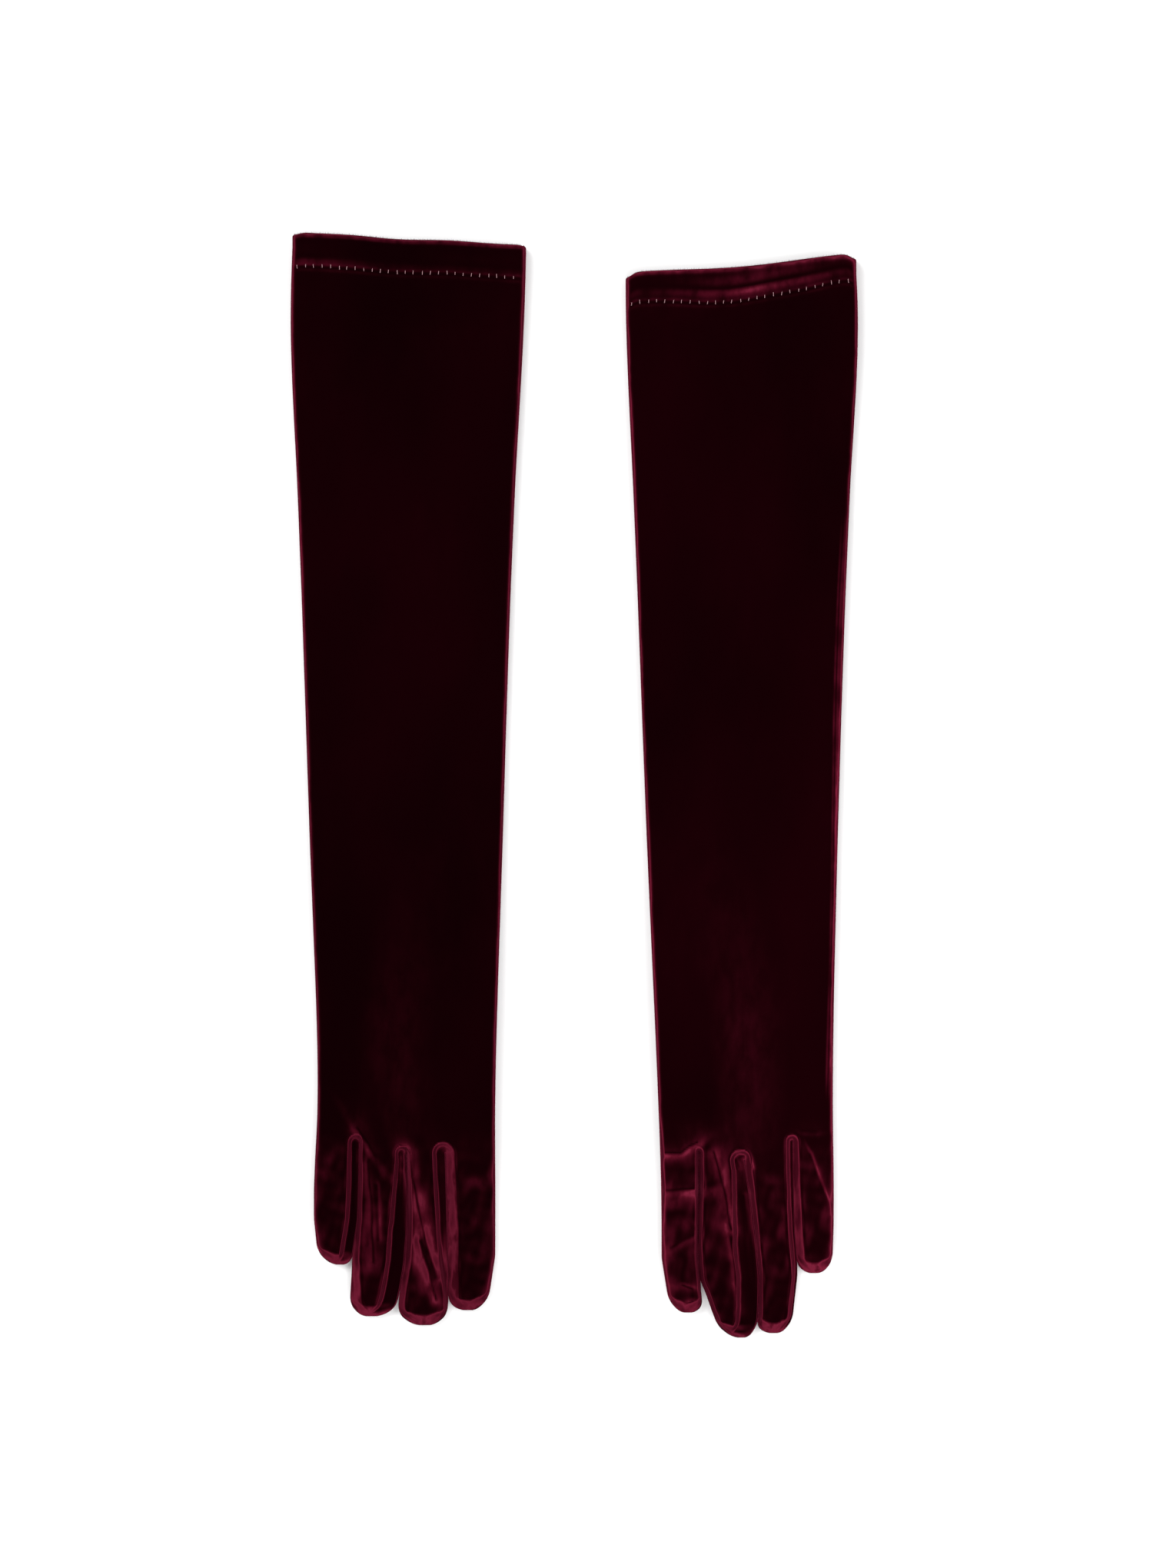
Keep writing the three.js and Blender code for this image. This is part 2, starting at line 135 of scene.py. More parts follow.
# Folds in the fingers: (glove, finger, crest, height, steep width, gentle width). The crest's points are
# mm to the right and down from the middle of the finger's root; looking along the crest, the steep flank
# is on the left. Height and widths are in mm.
FOLDS = [
    ("right", "ring", [(-3.5, 6), (-8.5, -2.5), (-12, -7)], 2.2, 3.4, 9.0),
    ("right", "ring", [(-7, 9.5), (-5, 28.5), (-4, 59)], 1.3, 2.6, 4.0),
    ("right", "ring", [(-2, 21), (-1, 47.5)], 0.6, 1.4, 3.0),
    ("right", "middle", [(-8.5, 2.5), (-5.5, 21), (-2, 38), (2.5, 54.5), (6, 64.5)], 3.2, 4.4, 5.0),
    ("right", "middle", [(-3.5, 46.5), (1, 61), (5, 75.5)], 2.3, 3.6, 3.0),
    ("right", "middle", [(-11.5, 5), (-9, 8.5), (-11, 11.5), (-8, 15)], 0.6, 0.9, 0.9),
    ("left", "index", [(8.5, -2), (4.5, 0), (0.5, 3), (-10, 3)], 2.4, 3.4, 6.0),
    ("left", "index", [(10, 21), (-10, 21.5)], 2.8, 4.2, 7.0),
    ("left", "index", [(8, 43.5), (-4.5, 50)], 1.3, 4.0, 6.0),
    ("left", "index", [(1.5, 68.5), (6.5, 70)], 1.0, 1.4, 3.0),
    ("left", "index", [(2, 79), (6.5, 76.5)], 1.0, 1.4, 3.2),
    ("left", "middle", [(5.5, 38), (2, 18), (-3, 0)], 2.6, 4.0, 4.0),
    ("left", "middle", [(9.5, 78.5), (7.5, 66), (6.5, 54), (3.5, 35)], 0.9, 1.6, 3.0),
    ("left", "middle", [(12.5, 21.5), (15, 39), (17.5, 54), (19, 73)], 0.7, 1.0, 1.4),
    ("left", "middle", [(8, 3.5), (9.5, 7.5)], 0.6, 0.8, 0.8),
    ("left", "middle", [(11, 2.5), (12.5, 7)], 0.6, 0.8, 0.8),
    ("left", "middle", [(14.5, 4), (16, 7.5)], 0.6, 0.8, 0.8),
    ("left", "little", [(-2.5, 10), (3, 25), (8, 37)], 0.8, 1.1, 5.0),
    ("left", "little", [(0, -1), (-6.5, -1.5)], 0.6, 2.2, 6.0),
]


# ---- Small helpers ----
def smooth(values, count):
    """Each value averaged with its neighbours, count times, with the ends kept."""
    values = np.array(values, float)
    for _ in range(count):
        values[1:-1] = 0.25 * values[:-2] + 0.5 * values[1:-1] + 0.25 * values[2:]
    return values


def ease(t):
    """0 before 0, 1 after 1, and smooth between."""
    t = np.clip(t, 0, 1)
    return t * t * (3 - 2 * t)


def neighbours(index):
    """The places beside finger index that hold a finger, with 1 for the left one and 2 for the right."""
    return [(n, other) for n, other in ((1, index - 1), (2, index + 1)) if 0 <= other < 4]


def bump(t):
    """1 at 0, falling smoothly to 0 on both sides."""
    return np.exp(-(t**2))


def ridge(t):
    """1 at 0, with a narrow crest and flanks that flatten out on both sides."""
    return np.exp(0.2 - 1.2 * np.sqrt(t**2 + 0.028))


def even_steps(points, step, rounds):
    """A line resampled to even steps and smoothed."""
    for _ in range(2):
        lengths = np.linalg.norm(np.diff(points, axis=0), axis=1)
        along = np.concatenate([[0], np.cumsum(lengths)])
        at = np.linspace(0, along[-1], max(int(along[-1] / step), 8))
        points = np.stack([np.interp(at, along, points[:, i]) for i in range(2)], axis=1)
        points = np.stack([smooth(points[:, i], rounds) for i in range(2)], axis=1)
    return points


# ---- Plan of a glove, from slices through the CAD ----
def node_edges(nodes):
    """Both ends of every edge of some CAD nodes, as an array of pairs of points."""
    found = []
    for name in nodes:
        mesh = frame["nodes"][name].data
        points = np.array([v.co for v in mesh.vertices])
        pairs = np.array([e.vertices[:] for e in mesh.edges])
        found.append(points[pairs])
    return np.concatenate(found)


def slice_at(edges, y):
    """Lowest and highest (x, z) where the edges cross the plane at y."""
    a, b = edges[:, 0], edges[:, 1]
    crossing = (a[:, 1] - y) * (b[:, 1] - y) < 0
    a, b = a[crossing], b[crossing]
    share = ((y - a[:, 1]) / (b[:, 1] - a[:, 1]))[:, None]
    points = (a + share * (b - a))[:, [0, 2]]
    return points.min(0), points.max(0)


def widest_at(edges, y, reach):
    """Lowest and highest X a little above and below y, which bridges the narrow gaps between CAD nodes."""
    found = [slice_at(edges, y - reach), slice_at(edges, y + reach)]
    return min(low[0] for low, _ in found), max(high[0] for _, high in found)


class Plan:
    """One glove seen from above: its edges, fingers and slits, and the height of its lying sleeve. The
    fingers are cells 0 to 3, in the order of X."""

    def __init__(self, side):
        self.side = side
        self.order = FINGERS if side == "right" else FINGERS[::-1]
        self.joints = {j["name"]: j for j in frame["joints"]}
        self.read_arm()
        self.read_fingers()
        for cell in range(3):
            self.press_together(cell, cell + 1)
        self.sides = {(cell, n): self.side_line(cell, n) for cell in range(4) for n in (0, 1)}
        self.slits = [self.find_slit(index) for index in range(3)]

    def pivot(self, name):
        """Where the hinge of a fold lies."""
        return self.joints[f"{self.side}_{name}_fold"]["pos_m"]

    def read_arm(self):
        """The sleeve's and hand's edges and height, at rows from the fingers to the cuff."""
        side = self.side
        edges = node_edges([f"{side}_{n}" for n in ("upper_sleeve", "forearm_sleeve", "hand")])
        low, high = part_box(f"{side}_upper_sleeve")
        x, y, _ = np.array([v.co for v in frame["nodes"][f"{side}_upper_sleeve"].data.vertices]).T
        corner = 0.1 * (high.x - low.x)
        self.cuff_ends = (y[x < low.x + corner].max(), y[x > high.x - corner].max())
        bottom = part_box(f"{side}_hand")[0].y
        self.ys = np.linspace(bottom + 14 * MM, min(self.cuff_ends) - 1 * MM, 90)
        found = [slice_at(edges, y) for y in self.ys]
        self.low_x = smooth([f[0][0] for f in found], 6)
        self.high_x = smooth([f[1][0] for f in found], 6)
        top = np.array([f[1][1] for f in found])
        wrist = self.pivot("wrist")[1] + 4 * MM
        self.top_z = smooth(np.where(self.ys < wrist, np.interp(wrist, self.ys, top), top), 4)

    def read_fingers(self):
        """Each finger's outline, from its left root round its tip to its right root."""
        self.loops = []
        self.roots = [self.pivot(finger)[1] for finger in self.order]
        for finger, root in zip(self.order, self.roots):
            name = f"{self.side}_{finger}_"
            edges = node_edges([n for n in frame["nodes"] if n.startswith(name)])
            tip_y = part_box(f"{name}finger")[0].y
            steps = np.linspace(0, 1, 90) ** 2
            ys = tip_y + 0.05 * MM + (root - tip_y - 1 * MM) * steps
            found = [widest_at(edges, y, 0.35 * MM if y > tip_y + 4 * MM else 0) for y in ys]
            left = np.array([[low_x, y] for (low_x, _), y in zip(found, ys)])
            right = np.array([[high_x, y] for (_, high_x), y in zip(found, ys)])
            self.loops.append(even_steps(np.concatenate([left[::-1], right]), 0.4 * MM, 7))
        self.tips = [loop[:, 1].min() for loop in self.loops]

    def halves(self, cell):
        """The finger's left and right side, each from the tip up, as views into its loop."""
        loop = self.loops[cell]
        tip = loop[:, 1].argmin()
        return loop[: tip + 1][::-1], loop[tip:]

    def press_together(self, a, b):
        """Closes the CAD's clearance between two fingers, where they lie side by side."""
        side_a, side_b = self.halves(a)[1], self.halves(b)[0]
        x_a, x_b = side_a[:, 0].copy(), side_b[:, 0].copy()
        for side, own, other, other_y, sign in (
            (side_a, x_a, x_b, side_b[:, 1], 1),
            (side_b, x_b, x_a, side_a[:, 1], -1),
        ):
            gap = sign * (np.interp(side[:, 1], other_y, other) - own)
            close = ease((1.5 * MM - gap) / (0.7 * MM))
            side[:, 0] = own + smooth(sign * close * (gap / 2 + 0.03 * MM), 50)

    def side_line(self, cell, number):
        """Y and X of the points on the left (0) or right (1) side of a finger, from its tip up.
        The outermost two go on along the sleeve."""
        x, y = self.halves(cell)[number].T
        if (cell, number) in ((0, 0), (3, 1)):
            arm_x = (self.low_x, self.high_x)[number]
            on_finger = y < self.roots[cell] - 2 * MM
            on_arm = self.ys > self.roots[cell] + 3 * MM
            x = np.concatenate([x[on_finger], arm_x[on_arm]])
            y = np.concatenate([y[on_finger], self.ys[on_arm]])
        return y.copy(), x.copy()

    def side_x(self, cell, number, y):
        """X of the left (0) or right (1) side of a finger at y."""
        return np.interp(y, *self.sides[cell, number])

    def edges_at(self, y):
        """Left and right edge of the glove at y."""
        return self.side_x(0, 0, y), self.side_x(3, 1, y)

    def across(self, x, y):
        """How far over the glove's width a point is: 0 at the left edge and 1 at the right."""
        left, right = self.edges_at(y)
        return np.clip((x - left) / (right - left), 0, 1)

    def find_slit(self, index):
        """The upper end of the slit between finger index and the next."""
        drop = SLIT_DROPS[self.side][index if self.side == "right" else 2 - index]
        y = max(self.roots[index : index + 2]) - drop * MM
        x = (self.side_x(index, 1, y) + self.side_x(index + 1, 0, y)) / 2
        return x, y

    def knuckle_y(self, index, share):
        """Y of the line from slit to slit that parts the hand from a finger, at a share of its width."""
        left = self.slits[max(index - 1, 0)][1]
        right = self.slits[min(index, 2)][1]
        return left + (right - left) * ease(share)

    def side_cloth(self, cell, other, y):
        """Width of the turned-down cloth of a finger's side, how much of a shelf it is, and its welt."""
        _, shelf, welt = SIDES[self.side][self.order[cell], self.order[other]]
        return self.roll_width(cell, other, y), shelf, welt

    def roll_width(self, cell, other, y):
        """Width of the cloth that turns down on a finger's side beside another, or on its outer side."""
        if not 0 <= other < 4:
            return OUTER_ROLL + 0 * y
        along = (self.roots[cell] - y) / (self.roots[cell] - self.tips[cell])
        widths = SIDES[self.side][self.order[cell], self.order[other]][0]
        return np.interp(along, WIDTHS_AT, widths) * MM

    def cuff_y(self, share):
        """The cuff's edge at a share of the width from the left, with its sag and drawn-in corners."""
        straight = (1 - share) * self.cuff_ends[0] + share * self.cuff_ends[1]
        if self.side == "right":
            wave = (0.45 * np.sin(share * 12.5 - 0.9) - 0.3) * np.sin(math.pi * share)
            corners = 1.3 * bump(share / 0.03) + 0.6 * bump((1 - share) / 0.02)
        else:
            wave = -1.9 * np.sin(math.pi * share) ** 2
            corners = 2.4 * bump(share / 0.03) + 2.6 * bump((1 - share) / 0.03)
        return straight + (wave - corners) * MM

    def hem_depth(self, share):
        """From the cuff's edge down to the row of stitches."""
        if self.side == "right":
            return 16.3 * MM + 0 * share
        return (14.9 + 2.2 * bump((share - 0.42) / 0.2) - 2.2 * ease((share - 0.7) / 0.3)) * MM


# ---- Height of the cloth ----
def outer_edge(t):
    """A pressed edge: steep at the very edge, then almost level."""
    return (1 - (1 - t) ** 4) ** 0.25


def turned_down(distance, roll, shelf):
    """A side's height from 0 at the edge to 1: an even slope, or a low shelf with a step at its end."""
    slope = 1 - (1 - np.clip(distance / roll, 0, 1)) ** 1.6
    step = 0.1 * np.clip(distance / roll, 0, 1) + 0.9 * ease((distance - roll) / SHELF_STEP + 1)
    return slope + (step - slope) * shelf


class Cloth:
    """Heights of the back and the palm of one glove over its plan."""

    def __init__(self, plan):
        self.plan = plan
        self.thumb_low, self.thumb_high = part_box(f"{plan.side}_thumb")
        self.folds = [fold_line(plan, *rest) for side, *rest in FOLDS if side == plan.side]
        ends = zip(plan.loops, plan.tips)
        self.arcs = [loop[loop[:, 1] < tip + TIP_HEIGHT] for loop, tip in ends]

    def side(self, cell, number, x, y):
        """How the cloth turns down at the left (0) or right (1) side of a finger's part of the glove:
        distance, height from 0 to 1, height of the edge and the seam's relief."""
        plan = self.plan
        other = cell + (1 if number else -1)
        distance = np.abs(x - plan.side_x(cell, number, y))
        if not 0 <= other < 4:
            return distance, outer_edge(np.clip(distance / OUTER_ROLL, 0, 1)), MID, 0 * distance
        slit_x, slit_y = plan.slits[min(cell, other)]
        above = y > slit_y
        distance = np.where(above, np.hypot(x - slit_x, y - slit_y), distance)
        meeting = np.where(above, 0.5 - 0.5 * np.abs(x - slit_x) / (distance + 1e-9), 0)
        own, its = plan.side_cloth(cell, other, y), plan.side_cloth(other, cell, y)
        roll, shelf, welt = ((1 - meeting) * a + meeting * b for a, b in zip(own, its))
        relief = welt * 0.3 * MM * bump((distance - roll - 0.4 * MM) / (0.6 * MM))
        return distance, turned_down(distance, roll, shelf), SLIT_MID, relief

    def tip_roll(self, cell, x, y):
        """Distance to the rounded end of a finger and that distance as a share of the roll there, which
        narrows from the tip up both sides."""
        distance, share = np.full(x.shape, 1.0), np.ones(x.shape)
        tip = self.plan.tips[cell]
        near = y < tip + 2 * TIP_HEIGHT
        if near.any():
            arc = self.arcs[cell]
            away = np.hypot(x[near][:, None] - arc[None, :, 0], y[near][:, None] - arc[None, :, 1])
            widths = 1 * MM + (TIP_ROLL - 1 * MM) * (1 - ease((arc[:, 1] - tip) / TIP_HEIGHT))
            distance[near] = away.min(axis=1)
            share[near] = np.clip((away / widths).min(axis=1), 0, 1)
        return distance, share

    def rise(self, x, y):
        """How far the thumb underneath lifts the cloth."""
        low, high = self.thumb_low, self.thumb_high
        inner = low.x - x if self.plan.side == "right" else x - high.x
        corner = 8 * MM
        across = np.maximum(inner + corner, 0)
        beyond = np.maximum(np.maximum(0.45 * (y - high.y), low.y - y) + corner, 0)
        away = np.hypot(across, beyond) - corner
        return THUMB_RISE * (1 - ease(away / THUMB_RAMP))

    def slack_height(self, x, y):
        """Height of the back away from every edge, with its shallow waves and the hem's thickness."""
        plan = self.plan
        across = plan.across(x, y)
        phase = 0.0 if plan.side == "right" else 2.1
        wave = 0.35 * np.sin(y * 41 + across * 2.2 + phase)
        wave += 0.28 * np.sin(y * 67 - across * 3.1 + 1.7 * phase)
        wave += 0.3 * np.sin(across * 7.5 + y * 9 + phase)
        down = plan.cuff_y(across) - y
        wave *= ease((down + 2 * MM) / (30 * MM)) * ease((y - plan.ys[0]) / (60 * MM))
        relief = wave - 0.5 + self.hem_relief(across, down)
        if plan.side == "left":
            relief += self.side_seam(plan.edges_at(y)[1] - x, y)
        return np.interp(y, plan.ys, plan.top_z) + relief * MM

    def side_seam(self, inward, y):
        """The seam that shows along the left-hand glove's outer edge, as a relief in mm."""
        ends = ease((y + 0.16) / 0.02) * (1 - ease((y - 0.1) / 0.05))
        place = (2.5 + 0.8 * np.sin(y * 22)) * MM
        return 0.42 * ends * bump((inward - place) / (0.9 * MM))

    def hem_relief(self, across, down):
        """The hem's relief in mm: a swelling above the stitches, their line, and the rounded-off cuff."""
        above = self.plan.hem_depth(across) - down
        if self.plan.side == "right":
            height, crest, steep = 0.35 + 0.35 * bump((across - 0.08) / 0.12), 4.2 * MM, 2.8 * MM
        else:
            height, crest, steep = 0.4 + 1.7 * bump((across - 0.58) / 0.27), 6.6 * MM, 3.2 * MM
        swelling = height * bump((above - crest) / np.where(above < crest, steep, 5 * MM))
        below = 0.3 * ease(-above / (3 * MM)) * (1 - ease((-above - 3 * MM) / (25 * MM)))
        cuff = 0.9 * bump(np.maximum(down, 0) / (1.5 * MM))
        return swelling - 0.22 * self.stitch_line(across, down) - below - cuff

    def stitch_line(self, across, down):
        """1 along the row of stitches and 0 away from it."""
        return bump((down - self.plan.hem_depth(across)) / (0.9 * MM))

    def crumple(self, x, y):
        """Slight unevenness of the cloth of the fingers."""
        relief = 0
        for length, turn, phase in ((23, 0.4, 0.3), (17, 2.0, 1.9), (12, 1.2, 4.0), (9, 2.8, 5.1)):
            k = 2 * math.pi / (length * MM)
            relief = relief + length * np.sin(k * (x * math.cos(turn) + y * math.sin(turn)) + phase)
        return CRUMPLE * relief

    def fullness(self, x, y, cell):
        """How a finger's back swells towards its middle. It fades out above the finger's root."""
        plan = self.plan
        left, right = plan.side_x(cell, 0, y), plan.side_x(cell, 1, y)
        from_middle = np.clip((2 * x - left - right) / (right - left), -1, 1)
        on_finger = ease((plan.roots[cell] - y) / (18 * MM))
        return on_finger * (CROWN * (1 - from_middle**2) + self.crumple(x, y))

    def palm_height(self, x, y, mid, nearest):
        """The palm, which rolls up to the edge's height and is drawn in along the hem's stitches."""
        plan = self.plan
        under = np.clip(nearest / UNDER_ROLL, 0, 1)
        across = plan.across(x, y)
        stitches = self.stitch_line(across, plan.cuff_y(across) - y)
        return mid * (1 - np.sqrt(1 - (1 - under) ** 2)) + 0.5 * MM * under * stitches

    def heights(self, x, y, cell):
        """Heights of the back and of the palm, for points beside one finger."""
        top = self.slack_height(x, y) + self.fullness(x, y, cell)
        nearest, end = self.tip_roll(cell, x, y)
        before_tip = ease((y - self.plan.tips[cell]) / (0.8 * TIP_HEIGHT))
        profile, mid, welts = 1 - (1 - end) ** 1.25, MID, 0
        for number in (0, 1):
            distance, height, edge, relief = self.side(cell, number, x, y)
            profile = profile * (1 - (1 - height) * before_tip)
            mid = mid + (edge - MID) * (1 - height)
            nearest = np.minimum(nearest, distance)
            welts = welts + relief * before_tip
        mid = mid + (TIP_MID - mid) * (1 - before_tip)
        back = mid + (top - mid) * profile + welts
        inward = ease(nearest / (2 * MM))
        for crest, height, steep, gentle in self.folds:
            back = back + fold_height(x, y, crest, height, steep, gentle) * inward
        palm = self.palm_height(x, y, mid, nearest)
        thinnest = 1.2 * MM * np.clip(nearest / MM, 0, 1)
        rise = self.rise(x, y)
        return np.maximum(back, palm + thinnest) + rise, palm + rise


def fold_line(plan, finger, crest, height, steep, gentle):
    """A fold with its crest in the frame's own metres."""
    root = plan.pivot(finger)
    crest = [(root[0] + across * MM, root[1] - down * MM) for across, down in crest]
    return crest, height * MM, steep * MM, gentle * MM


def fold_height(x, y, crest, height, steep, gentle):
    """The relief of a fold: a ridge along its crest with a steep flank and a gentle one."""
    best = np.full(x.shape, np.inf)
    signed = np.zeros(x.shape)
    for (ax, ay), (bx, by) in zip(crest, crest[1:]):
        dx, dy = bx - ax, by - ay
        length = math.hypot(dx, dy)
        share = np.clip(((x - ax) * dx + (y - ay) * dy) / length**2, 0, 1)
        away = np.hypot(x - ax - share * dx, y - ay - share * dy)
        side = (dx * (y - ay) - dy * (x - ax)) / length
        nearer = away < best
        best = np.where(nearer, away, best)
        signed = np.where(nearer, side, signed)
    width = gentle + (steep - gentle) * ease(0.5 + signed / (2 * steep))
    return height * ridge(best / width)


# ---- Meshes ----
def make_piece(name, points, faces, *materials, closed=False):
    """A mesh object from points and faces, shaded smooth, with a closed one's faces turned outwards."""
    mesh = bpy.data.meshes.new(name)
    mesh.from_pydata([tuple(p) for p in points], [], faces)
    if closed:
        work = bmesh.new()
        work.from_mesh(mesh)
        bmesh.ops.recalc_face_normals(work, faces=work.faces)
        work.to_mesh(mesh)
        work.free()
    mesh.update()
    mesh.shade_smooth()
    for material in materials:
        mesh.materials.append(material)
    piece = bpy.data.objects.new(name, mesh)
    bpy.context.scene.collection.objects.link(piece)
    return piece


def ring_faces(count, columns, first=0, ends_meet=False):
    """Faces that join count rings of points, each a closed loop of columns points."""
    rows = np.arange(count if ends_meet else count - 1)[:, None]
    column = np.arange(columns)[None]
    right = (column + 1) % columns
    below = (rows + 1) % count
    a, b = rows * columns + column, rows * columns + right
    c, d = below * columns + right, below * columns + column
    faces = np.stack([a, d, c, b], axis=2).reshape(-1, 4) + first
    return [tuple(face) for face in faces.tolist()]


def tube_faces(count, columns, first=0):
    """Faces of a tube of count rings, closed at both ends."""
    last = first + (count - 1) * columns
    ends = [tuple(range(first, first + columns)), tuple(range(last + columns - 1, last - 1, -1))]
    return ring_faces(count, columns, first) + ends


def lined_piece(name, rings, lining_ring, materials):
    """A closed tube of velvet that is thick as its cloth, with the velvet's back from one ring on."""
    columns = rings.shape[1]
    faces = ring_faces(len(rings), columns, ends_meet=True)
    both = (materials["velvet"], materials["backing"])
    piece = make_piece(name, rings.reshape(-1, 3), faces, *both, closed=True)
    for number, face in enumerate(piece.data.polygons):
        face.material_index = int(number >= lining_ring * columns)
    return piece


def part_of(name, points, faces, material):
    """A piece with only the points that its faces use."""
    used = sorted({i for face in faces for i in face})
    number = {old: new for new, old in enumerate(used)}
    faces = [tuple(number[i] for i in face) for face in faces]
    return make_piece(name, points[used], faces, material)


def face_normals_at_points(mesh):
    """The mesh's points, and at each the sum of its faces' normals, of those with the first material."""
    points = np.array([v.co for v in mesh.vertices])
    total = np.zeros_like(points)
    for face in mesh.polygons:
        if face.material_index == 0:
            total[list(face.vertices)] += np.array(face.normal) * face.area
    return points, total


def match_normals(pieces):
    """Gives pieces that share points along a seam the same normals there."""
    found = [face_normals_at_points(piece.data) for piece in pieces]
    places, normals = (np.concatenate(arrays) for arrays in zip(*found))
    keys = np.round(places / (0.002 * MM)).astype(np.int64)
    _, group = np.unique(keys, axis=0, return_inverse=True)
    group = group.ravel()
    summed = np.zeros((group.max() + 1, 3))
    np.add.at(summed, group, normals)
    shared = summed[group]
    shared /= np.linalg.norm(shared, axis=1, keepdims=True) + 1e-12
    ends = np.cumsum([len(points) for points, _ in found])[:-1]
    for piece, own in zip(pieces, np.split(shared, ends)):
        piece.data.normals_split_custom_set_from_vertices(own.tolist())
        # The lean noted here becomes the velvet's painted sheen.
        note_painted_sheen_lean(piece, own)


def note_painted_sheen_lean(piece, normals):
    """Notes at each point how far the cloth leans from level, from 0 to 1, for the velvet's painted sheen.
    """
    lean = piece.data.attributes.new("lean", "FLOAT", "POINT")
    lean.data.foreach_set("value", 1 - np.abs(np.array(normals)[:, 2]))


def inset_rings(rings, depth):
    """Rings of a flattened tube drawn in by a depth."""
    inner = rings.copy()
    for axis in (0, 2):
        values = rings[:, :, axis]
        low, high = values.min(1)[:, None], values.max(1)[:, None]
        middle, half = (low + high) / 2, (high - low) / 2
        inner[:, :, axis] = middle + (values - middle) * (1 - depth / half)
    return inner


def declare_cloth(rings, own=None):
    """Works out what a piece's rings, or their own columns, measure across from above: the back's width
    and the palm's, by the length. Nothing is done with it."""
    across = np.abs(np.diff(rings[:, :, 0], axis=1, append=rings[:, :1, 0]))[:-1]
    if own is not None:
        across = across * own


# ---- The glove's columns and rows ----
# Where the columns run, as shares of the width of the outer roll and of the roll beside a slit.
OUTER_COLUMNS = (0, 0.01, 0.04, 0.09, 0.16, 0.25, 0.35, 0.47, 0.6, 0.73, 0.86, 1)
SLIT_COLUMNS = (0, 0.08, 0.2, 0.35, 0.5, 0.62, 0.7, 0.76, 0.82, 0.88, 0.94, 1)
SEAM_COLUMN = len(SLIT_COLUMNS) - 1  # the column along the seam, counted from a finger's side
FLAT_COLUMNS = 20  # over the middle of a finger, between its rolls
BENT_ROWS = 10  # rows of a finger that even out the slant of the hand's last row


def finger_columns(plan, index, y):
    """Shares of a finger's width at y where the columns of its mesh run, from left to right."""
    width = plan.side_x(index, 1, y) - plan.side_x(index, 0, y)
    welt = np.array([0.3, 0.6, 0.95, 1.5]) * MM
    columns = []
    for other in (index - 1, index + 1):
        roll = plan.roll_width(index, other, y)
        shares = SLIT_COLUMNS if 0 <= other < 4 else OUTER_COLUMNS
        columns.append(np.concatenate([roll * np.array(shares), roll + welt]))
    squeeze = min(1, 0.8 * width / (columns[0][-1] + columns[1][-1]))
    from_left, from_right = columns[0] * squeeze, columns[1] * squeeze
    flat = np.linspace(from_left[-1], width - from_right[-1], FLAT_COLUMNS)[1:-1]
    return np.concatenate([from_left, flat, (width - from_right)[::-1]]) / width


class Arm:
    """Rings of the sleeve and hand, from the cuff to the knuckles, over the fingers' own columns."""

    def __init__(self, plan, cloth):
        self.plan, self.cloth = plan, cloth
        self.rows = [self.knuckle_row(index) for index in range(4)]
        first = [self.rows[0]] + [row[:, 1:] for row in self.rows[1:]]
        self.knuckle_x, self.knuckle_y = np.concatenate(first, axis=1)
        low, high = plan.edges_at(self.knuckle_y)
        self.share = (self.knuckle_x - low) / (high - low)
        self.share[0], self.share[-1] = 0, 1
        self.columns = 2 * len(self.share) - 2
        each = (len(self.share) - 1) // 4
        starts = [0] + [i * each + 1 for i in (1, 2, 3, 4)]
        self.parts = [slice(*ends) for ends in zip(starts, starts[1:])]

    def knuckle_row(self, index):
        """X and Y of the points where the hand meets finger index."""
        plan = self.plan
        start_y = (plan.slits[max(index - 1, 0)][1] + plan.slits[min(index, 2)][1]) / 2
        shares = finger_columns(plan, index, start_y)
        knuckle = plan.knuckle_y(index, shares)
        left = plan.slits[index - 1][0] if index > 0 else plan.edges_at(knuckle[0])[0]
        right = plan.slits[index][0] if index < 3 else plan.edges_at(knuckle[-1])[1]
        return np.stack([left + (right - left) * shares, knuckle])

    def rings(self, down, inset=0.0, shift=0.0):
        """Rings at shares of the way down from the cuff, drawn in by an inset and shifted along."""
        down = np.atleast_1d(down)[:, None]
        y = self.plan.cuff_y(self.share)[None] * (1 - down) + self.knuckle_y[None] * down - shift
        low, high = self.plan.edges_at(y)
        x = low + (high - low) * self.share[None]
        parts = enumerate(self.parts)
        heights = [self.cloth.heights(x[:, part], y[:, part], cell) for cell, part in parts]
        back, palm = (np.concatenate(layers, axis=1) for layers in zip(*heights))
        rings = join_sides(x, y, back, palm)
        return inset_rings(rings, inset) if inset else rings

    def share_at(self, y):
        """The share of the way down at which the middle column reaches y."""
        middle = len(self.share) // 2
        cuff = self.plan.cuff_y(self.share[middle])
        return (cuff - y) / (cuff - self.knuckle_y[middle])


def join_sides(x, y, back, palm):
    """Closed rings: over the back from left to right, then under the palm from right to left."""
    over = np.stack([x, y, back], axis=2)
    under = np.stack([x, y, palm], axis=2)[:, 1:-1]
    return np.concatenate([over, under[:, ::-1]], axis=1)


